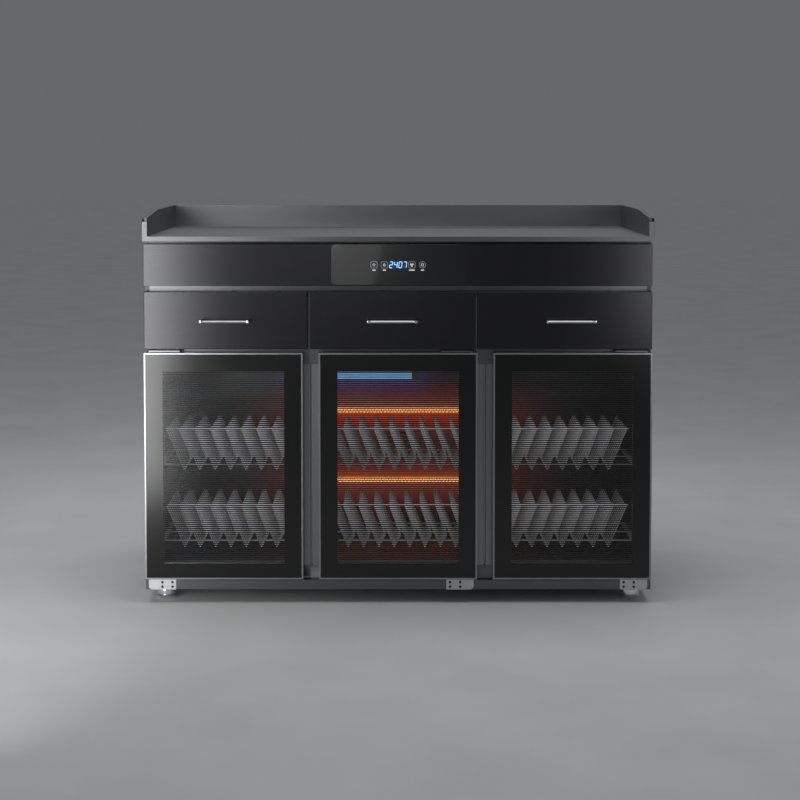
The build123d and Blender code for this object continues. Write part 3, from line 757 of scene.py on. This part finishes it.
soft_parts = {
    "cabinet": {"fascia_panel": 0.8, "left_side_panel": 0.4, "right_side_panel": 0.4,
                "bottom_rail": 0.5, "head_rail": 0.5, "drawer_rail": 0.5, "top_rail": 0.5,
                "mullion_left": 0.5, "mullion_right": 0.5, "side_stiles": 0.5,
                "control_glass": 0.5, "top_hinge_brackets": 0.3,
                "bottom_hinge_brackets": 0.3},
}
for side in sides:
    soft_parts[f"drawer_{side}"] = {f"drawer_front_{side}": 0.7, f"drawer_box_{side}": 0.3}
    soft_parts[f"door_{side}"] = {f"door_frame_{side}": 0.6}
for body, parts in soft_parts.items():
    for node, width in parts.items():
        finish = nodes[node].data.materials[0]
        bevelled(piece(f"soft_{node}", whole_faces(node), finish, body, node), width * mm)
print("softened", sum(len(parts) for parts in soft_parts.values()))

# %% [markdown]
# The upstand at each side of the worktop is a folded sheet, and its front end is left open
# below the sloping top. The worktop's copy is cut across at the foot of that opening, and
# the small end face above the cut is inset by the sheet's thickness and pushed in.

# %% Worktop with open upstand ends
worktop_low, worktop_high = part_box("worktop")
slope_start = worktop_high.z - 13.5 * mm
opening_height = 9.5 * mm
opening_depth = 14 * mm
opening_wall = 1.4 * mm
touching = 0.1 * mm
opening_foot = slope_start - opening_height
worktop_mesh = whole_faces("worktop")
everything = worktop_mesh.verts[:] + worktop_mesh.edges[:] + worktop_mesh.faces[:]
bmesh.ops.bisect_plane(worktop_mesh, geom=everything, plane_co=(0, 0, opening_foot),
                       plane_no=(0, 0, 1))
ends = []
for face in worktop_mesh.faces:
    middle = face.calc_center_median()
    at_front = abs(middle.y - worktop_low.y) < touching
    if at_front and opening_foot < middle.z < slope_start:
        ends.append(face)
bmesh.ops.inset_region(worktop_mesh, faces=ends, thickness=opening_wall)
pushed = bmesh.ops.extrude_discrete_faces(worktop_mesh, faces=ends)["faces"]
for face in pushed:
    bmesh.ops.translate(worktop_mesh, verts=face.verts, vec=(0, opening_depth, 0))
print("open ends", len(pushed))
bevelled(piece("worktop_sheet", worktop_mesh, top_steel, "cabinet", "worktop"), 0.7 * mm)

# %% [markdown]
# ## Turned parts
# Feet, handle posts and screws are made on a lathe, so they are made here in the same way:
# a profile of radius and distance along the axis is spun about that axis. A foot has a
# round pad, a groove above it and a stem, which goes up into its socket.

# %% Feet


def turned(profile, centre, axis, segments):
    """Spin a profile of (radius, distance) about an axis through the centre."""
    mesh = bmesh.new()
    turn = Vector((0, 0, 1)).rotation_difference(Vector(axis)).to_matrix().to_4x4()
    chain = [mesh.verts.new((radius, 0, along)) for radius, along in profile]
    edges = [mesh.edges.new(pair) for pair in zip(chain, chain[1:])]
    bmesh.ops.spin(mesh, geom=chain + edges, cent=(0, 0, 0), axis=(0, 0, 1), angle=tau,
                   steps=segments, use_merge=True)
    bmesh.ops.remove_doubles(mesh, verts=mesh.verts, dist=weld)
    mesh.transform(Matrix.Translation(centre) @ turn)
    return mesh


def joined(meshes):
    """Several bmeshes as one."""
    whole = bmesh.new()
    for mesh in meshes:
        data = bpy.data.meshes.new("part")
        mesh.to_mesh(data)
        mesh.free()
        whole.from_mesh(data)
        bpy.data.meshes.remove(data)
    return whole


foot_profile = [(0, 0), (21.5, 0), (23.2, 1.0), (24, 3.0), (24, 7.5), (23.2, 8.6),
                (22.2, 9.2), (22.2, 10.8), (23.0, 11.6), (23.0, 24.5), (22.0, 27.2),
                (19.5, 29.6), (17, 30.5), (6, 30.5), (6, 50.5), (0, 51.0)]
for corner in corners:
    low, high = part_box(f"foot_{corner}")
    centre = ((low.x + high.x) / 2, (low.y + high.y) / 2, low.z)
    profile = [(radius * mm, height * mm) for radius, height in foot_profile]
    piece(f"turned_foot_{corner}", turned(profile, centre, (0, 0, 1), 48), chrome,
          f"foot_{corner}", f"foot_{corner}")
print("feet", len(corners), "points in the profile", len(foot_profile))

# %% [markdown]
# A drawer handle is a bar held by two posts with rounded heads. Each post stands on a small
# round foot against the drawer front. The profile is scaled to the depth of the packed
# handle, so it always reaches from the front to the bar.

# %% Drawer handles
bar_radius = 3.0 * mm
bar_drop = 0.6 * mm
round_steps = 24
post_profile = [(0, 0), (4.5, 0), (4.5, 1.2), (3.8, 2.4), (3.2, 6), (3.2, 19), (4.1, 21.5),
                (4.5, 23), (4.5, 27.5), (3.6, 29.4), (2.0, 30), (0, 30)]
post_length = post_profile[-1][1]
for side in sides:
    low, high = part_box(f"drawer_handle_{side}")
    reach = high.y - low.y
    level = (low.z + high.z) / 2
    radius = (high.z - low.z) / 2
    parts = []
    for post_x in (low.x + radius, high.x - radius):
        profile = [(out * mm, along * reach / post_length) for out, along in post_profile]
        parts.append(turned(profile, (post_x, high.y, level), (0, -1, 0), round_steps))
    length = high.x - low.x - 2 * radius
    bar = [(0, 0), (bar_radius, 0), (bar_radius, length), (0, length)]
    start = (low.x + radius, low.y + radius, level - bar_drop)
    parts.append(turned(bar, start, (1, 0, 0), round_steps))
    piece(f"pull_{side}", joined(parts), chrome, f"drawer_{side}", f"drawer_handle_{side}")
print("handles", len(sides), "bar", round(length, 4))

# %% [markdown]
# ## Screws and clips
# Each lower hinge plate is held by two by two button screws, and each upper leg by a pair.
# Brighter ones hold the sheet at the back. They are turned with a small round socket. A
# plate's front is found on its own mesh, so the screws sit on it.

# %% Screws
screw_profile = [(0, 0.5), (1.2, 0.5), (1.3, 1.5), (2.3, 1.3), (2.9, 0.7), (3.1, 0)]
screw_steps = 18


def plate_front(node, low_z, high_z):
    """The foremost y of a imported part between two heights."""
    source = nodes[node]
    points = [source.matrix_world @ vertex.co for vertex in source.data.vertices]
    return min(point.y for point in points if low_z < point.z < high_z)


def screw(centre, axis):
    profile = [(radius * mm, height * mm) for radius, height in screw_profile]
    return turned(profile, centre, axis, screw_steps)


# each pivot's x and the way to the middle of its door
pins = ((-584 * mm, 1), (173 * mm, -1), (584 * mm, -1))
lower_offsets = (26 * mm, 50 * mm)
lower_heights = (39.4 * mm, 50.2 * mm)
upper_offsets = (26 * mm, 56 * mm)
upper_drop = 5 * mm
plate_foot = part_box("bottom_hinge_brackets")[0].z
plate_y = plate_front("bottom_hinge_brackets", plate_foot - mm, plate_foot + 5 * mm)
leg_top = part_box("top_hinge_brackets")[1].z
leg_y = plate_front("top_hinge_brackets", leg_top - 2 * mm, leg_top + mm)
front_screws = []
for pin_x, way in pins:
    for offset in lower_offsets:
        for height in lower_heights:
            front_screws.append(screw((pin_x + way * offset, plate_y, height), (0, -1, 0)))
    for offset in upper_offsets:
        place = (pin_x + way * offset, leg_y, leg_top - upper_drop)
        front_screws.append(screw(place, (0, -1, 0)))
back_low, back_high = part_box("back_panel")
edge = 12 * mm
ends_x = (back_low.x + edge, back_high.x - edge)
rows_z = [back_low.z + (back_high.z - back_low.z) * third / 3 for third in (1, 2)]
places = [(x, z) for x in (ends_x[0], back_low.x / 3, back_high.x / 3, ends_x[1])
          for z in (back_low.z + edge, back_high.z - edge)]
places += [(x, z) for z in rows_z for x in ends_x]
back_screws = [screw((x, back_high.y, z), (0, 1, 0)) for x, z in places]
print("screws", len(front_screws), "and", len(back_screws), "plates at", round(plate_y, 4))
# the hinge screws take the dark side steel: painted shade of the dark recess at each screw
piece("hinge_screws", joined(front_screws), side_steel, "cabinet")
piece("back_screws", joined(back_screws), chrome, "cabinet")

# %% [markdown]
# A small bright clip or two closes each end of the strip under the fascia. They are plain
# little blocks with soft edges.

# %% Clips on the strip
strip_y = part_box("drawer_rail")[0].y
strip_z = 744.5 * mm
clip_depth = 1.6 * mm
clip_height = 2.6 * mm
clip_stand = 0.7 * mm
clip_ends = ((-586.5, -575), (-573, -566.7), (564, 576), (579, 586.5))
clips = bmesh.new()
for x0, x1 in clip_ends:
    block = bmesh.ops.create_cube(clips, size=1.0)["verts"]
    size = Vector(((x1 - x0) * mm, clip_depth, clip_height))
    middle = Vector(((x0 + x1) / 2 * mm, strip_y - clip_stand, strip_z))
    bmesh.ops.scale(clips, vec=size, verts=block)
    bmesh.ops.translate(clips, verts=block, vec=middle)
# the clips take the darker plate steel, painted shade
bevelled(piece("strip_clips", clips, shaded_plate_steel, "cabinet"), 0.4 * mm)
print("clips", len(clip_ends), "in front of y", round(strip_y, 4))

# %% [markdown]
# ## Display and touch signs
# The display is a small blue window with four digits. Text could make them, but a real
# display lights seven slanted bars by number, and so does this. Each bar is a thin raised
# shape with pointed ends.

# %% Digits of the display
sign_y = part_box("control_glass")[0].y - 0.05 * mm
sign_depth = 0.25 * mm
sign_z = 803.6 * mm
digit_height = 13.8 * mm
digit_width = 6.8 * mm
digit_pitch = 10.8 * mm
digit_bar = 1.7 * mm
digit_slant = 0.12
point_share = 0.2
bars_of = {"0": "abcdef", "2": "abged", "4": "fgbc", "7": "abc"}
bar_ends = {"a": ((0, 1), (1, 1)), "b": ((1, 1), (1, 0.5)), "c": ((1, 0.5), (1, 0)),
            "d": ((0, 0), (1, 0)), "e": ((0, 0.5), (0, 0)), "f": ((0, 1), (0, 0.5)),
            "g": ((0, 0.5), (1, 0.5))}


def lift_shape(mesh, outline, back_y):
    """Raise a closed outline towards the front by the depth of a sign."""
    face = mesh.faces.new([mesh.verts.new((p.x, back_y, p.z)) for p in outline])
    raised = bmesh.ops.extrude_face_region(mesh, geom=[face])["geom"]
    bmesh.ops.translate(mesh, verts=[v for v in raised if isinstance(v, bmesh.types.BMVert)],
                        vec=(0, -sign_depth, 0))


def flat_bar(mesh, start, end, width):
    """A thin raised bar on the glass between two points (x, z), with pointed ends."""
    a = Vector((start[0], 0, start[1]))
    b = Vector((end[0], 0, end[1]))
    along = (b - a).normalized() * width / 2
    across = Vector((-along.z, 0, along.x))
    outline = [a + along * point_share, a + along + across, b - along + across,
               b - along * point_share, b - along - across, a + along - across]
    lift_shape(mesh, outline, sign_y)


digits = bmesh.new()
for place, digit in enumerate("2407"):
    left = (place - 1.5) * digit_pitch - digit_width / 2
    bottom = sign_z - digit_height / 2
    for name in bars_of[digit]:
        tips = []
        for across, up in bar_ends[name]:
            x = left + across * digit_width + (up - 0.5) * digit_height * digit_slant
            tips.append((x, bottom + up * digit_height))
        flat_bar(digits, *tips, digit_bar)
piece("display_digits", digits, digit_glow, "cabinet")
half_window = 2 * digit_pitch
window_rise = digit_height / 2 + 2.4 * mm
window_back = sign_y + sign_depth * 0.8
window = bmesh.new()
lift_shape(window, [Vector((x, 0, sign_z + z)) for x, z in
                    ((-half_window, -window_rise), (half_window, -window_rise),
                     (half_window, window_rise), (-half_window, window_rise))], window_back)
piece("display_window", window, display_blue, "cabinet")
print("display", round(2 * half_window, 4), "by", round(2 * window_rise, 4))

# %% [markdown]
# The touch signs are printed on the glass as fine white lines: three squares with round
# corners and a ring, with a small mark inside each and a short bar for the label below. The
# outlines are dimmer than the marks, so they are a piece of their own.

# %% Touch signs
sign_side = 16 * mm
sign_line = 0.75 * mm
sign_corner = 4 * mm
corner_steps = 5
key_x = [x * mm for x in (-56.6, -32.1, 32.3, 57.1)]
label_halves = [half * mm for half in (4.4, 4.4, 7.4, 4.4)]
label_z = sign_z - 12.4 * mm
label_height = 2.4 * mm


def rounded_outline(centre, half, corner):
    """Points round a square with round corners. A corner as large as half gives a ring."""
    points = []
    for quarter, (sx, sz) in enumerate(((1, 1), (-1, 1), (-1, -1), (1, -1))):
        for step in range(corner_steps + 1):
            angle = pi / 2 * (quarter + step / corner_steps)
            points.append(Vector((centre[0] + sx * (half - corner) + corner * cos(angle), 0,
                                  centre[1] + sz * (half - corner) + corner * sin(angle))))
    return points


def outline_band(mesh, points, width):
    """A flat line of the given width that follows closed points, inside them."""
    count = len(points)
    middle = sum(points, Vector()) / count
    outer = [mesh.verts.new((p.x, sign_y - sign_depth, p.z)) for p in points]
    inner = []
    for p in points:
        inward = (middle - p).normalized() * width
        inner.append(mesh.verts.new((p.x + inward.x, sign_y - sign_depth, p.z + inward.z)))
    for index in range(count):
        following = (index + 1) % count
        mesh.faces.new((outer[index], outer[following], inner[following], inner[index]))


frames = bmesh.new()
for x, corner in zip(key_x, (sign_corner, sign_corner, sign_corner, sign_side / 2)):
    outline_band(frames, rounded_outline((x, sign_z), sign_side / 2, corner), sign_line)
piece("touch_outlines", frames, key_grey, "cabinet")
print("touch keys", len(key_x))

# %% [markdown]
# The marks are a diamond, a drop, a fan of three blades and a ring, all drawn with the same
# band.

# %% Marks on the keys
mark = 3.6 * mm
drop_radius = mark * 0.8
drop_steps = 12
drop_point = 1.9
blade_reach = 2.6 * mm
blade_radius = 2.0 * mm
ring_radius = 3.4 * mm
signs = bmesh.new()
outline_band(signs, [Vector((key_x[0] + dx * mark, 0, sign_z + dz * mark))
                     for dx, dz in ((1, 0), (0, 1), (-1, 0), (0, -1))], 1.1 * mm)
drop = []
for step in range(drop_steps):
    turn = pi / 2 + tau * step / drop_steps
    stretch = drop_point if step == 0 else 1.0
    drop.append(Vector((key_x[1] + drop_radius * cos(turn), 0,
                        sign_z - 0.8 * mm + drop_radius * sin(turn) * stretch)))
outline_band(signs, drop, 1.2 * mm)
for blade in range(3):
    turn = tau * blade / 3 + 0.5
    centre = (key_x[2] + blade_reach * cos(turn), sign_z + blade_reach * sin(turn))
    outline_band(signs, rounded_outline(centre, blade_radius, blade_radius), 1.4 * mm)
outline_band(signs, rounded_outline((key_x[3], sign_z), ring_radius, ring_radius), 1.0 * mm)
for x, half in zip(key_x, label_halves):
    flat_bar(signs, (x - half, label_z), (x + half, label_z), label_height)
print("faces in the signs", len(signs.faces))
piece("touch_signs", signs, key_white, "cabinet")

# %% [markdown]
# ## Wire racks
# A rack is one bent wire shape, repeated. Each tooth is a leaning V with a rounded tip, and
# the next row's tooth stands close behind it. A curve with a bevel could draw the wire, but
# a tube swept by hand keeps each wire to a few dozen faces, and there are hundreds.

# %% Bent wire
ring_hint = Vector((0.05, 1, 0.03))


def wire_along(mesh, points, radius, around):
    """Sweep a round wire along points, keeping its rings square to the line."""
    rings = []
    for index, point in enumerate(points):
        before = points[max(index - 1, 0)]
        after = points[min(index + 1, len(points) - 1)]
        tangent = (after - before).normalized()
        across = tangent.cross(ring_hint).normalized()
        up = across.cross(tangent).normalized()
        ring = []
        for step in range(around):
            angle = tau * step / around
            offset = radius * (cos(angle) * across + sin(angle) * up)
            ring.append(mesh.verts.new(point + offset))
        rings.append(ring)
    for lower, upper in zip(rings, rings[1:]):
        for step in range(around):
            following = (step + 1) % around
            mesh.faces.new((lower[step], lower[following], upper[following], upper[step]))
    mesh.faces.new(rings[0][::-1])
    mesh.faces.new(rings[-1])


tooth_shape = [(-43, 99), (-2.6, 3.2), (-0.8, 1.2), (1.4, 1.2), (3.6, 4.4), (14.4, 25),
               (14.2, 31), (-11, 99)]


def tooth_line(tip_x, y, level, lean):
    """One tooth from its front top, round the tip, to the top of its other leg."""
    return [Vector((tip_x - lean * x * mm, y, level + z * mm)) for x, z in tooth_shape]


print("tooth points", len(tooth_shape))

# %% [markdown]
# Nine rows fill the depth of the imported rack. A long bar behind every fourth row carries
# the teeth, one more ties the tops of the front row, and a straight wire under each tip
# ties the rows together. Loops set them out, as a jig would for welding.

# %% Dish racks
tooth_pitch = 37.2 * mm
tooth_height = 99 * mm
tooth_lean = 41 * mm
tooth_belly = 13 * mm
end_margin = 20 * mm
end_inset = 1 * mm
tooth_wire = 1.7 * mm
bar_wire = 2.0 * mm
rows = 9
rows_per_bar = 4
carrier_rise = 10 * mm
leans = {"left": -1, "centre": -1, "right": 1}
moved = {"left": -7 * mm, "centre": 14 * mm, "right": 0}


def rack_tips(side, low, high):
    """The x of each tooth's tip, centred on the rack and then moved as in the photograph."""
    usable = high.x - low.x + 2 * end_inset - 2 * end_margin - tooth_lean - tooth_belly
    teeth = int(usable / tooth_pitch) + 1
    spare = (usable - (teeth - 1) * tooth_pitch) / 2
    first_lean = tooth_lean if leans[side] < 0 else tooth_belly
    first = low.x + end_margin + spare + first_lean - end_inset + moved[side]
    return [first + index * tooth_pitch for index in range(teeth)]


def rack_row(mesh, y, row, level, low, high):
    """The long bars of one row, just behind its teeth."""
    bars = []
    if row % rows_per_bar == 0:
        bars.append((level + carrier_rise, low.x, high.x))
    if row == 0:
        bars.append((level + tooth_height - bar_wire, low.x + end_margin, high.x - end_margin))
    behind = y + tooth_wire + bar_wire
    for bar_z, start, end in bars:
        wire_along(mesh, [Vector((start, behind, bar_z + bar_wire)),
                          Vector((end, behind, bar_z + bar_wire))], bar_wire, 8)


for side in sides:
    low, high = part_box(f"dish_racks_{side}")
    tips = rack_tips(side, low, high)
    rack = bmesh.new()
    for level in rack_levels:
        for row in range(rows):
            y = low.y + tooth_wire + (high.y - low.y - 3 * tooth_wire) * row / (rows - 1)
            for tip in tips:
                wire_along(rack, tooth_line(tip, y, level, leans[side]), tooth_wire, 5)
            rack_row(rack, y, row, level, low, high)
        under = level - tooth_wire / 2
        for tip in tips:
            wire_along(rack, [Vector((tip, low.y, under)), Vector((tip, high.y, under))],
                       tooth_wire, 6)
    made = piece(f"wire_racks_{side}", rack, satin_wire, "cabinet", f"dish_racks_{side}")
    print(made.name, "teeth", len(tips), "faces", len(made.data.polygons))

# %% [markdown]
# ## Heaters
# A heater is a clear quartz tube with a bright coil inside. The coil is a helix, worked out
# by a loop and swept with the same wire helper, and the tube keeps its packed size.

# %% Heater coils
tube_y = (heater_low.y + heater_high.y) / 2
coil_radius = tube_radius * 0.62
coil_wire = 0.9 * mm
coil_pitch = 9 * mm
coil_margin = 6 * mm
turn_steps = 8
coil_start = heater_low.x + coil_margin
turns = (heater_high.x - heater_low.x - 2 * coil_margin) / coil_pitch
coils = bmesh.new()
for level in heater_levels:
    line = []
    for step in range(int(turns * turn_steps) + 1):
        angle = tau * step / turn_steps
        line.append(Vector((coil_start + coil_pitch * step / turn_steps,
                            tube_y + coil_radius * cos(angle),
                            level + coil_radius * sin(angle))))
    wire_along(coils, line, coil_wire, 5)
piece("heater_coils", coils, coil_glow, "cabinet")
print("coil turns", round(turns, 1))
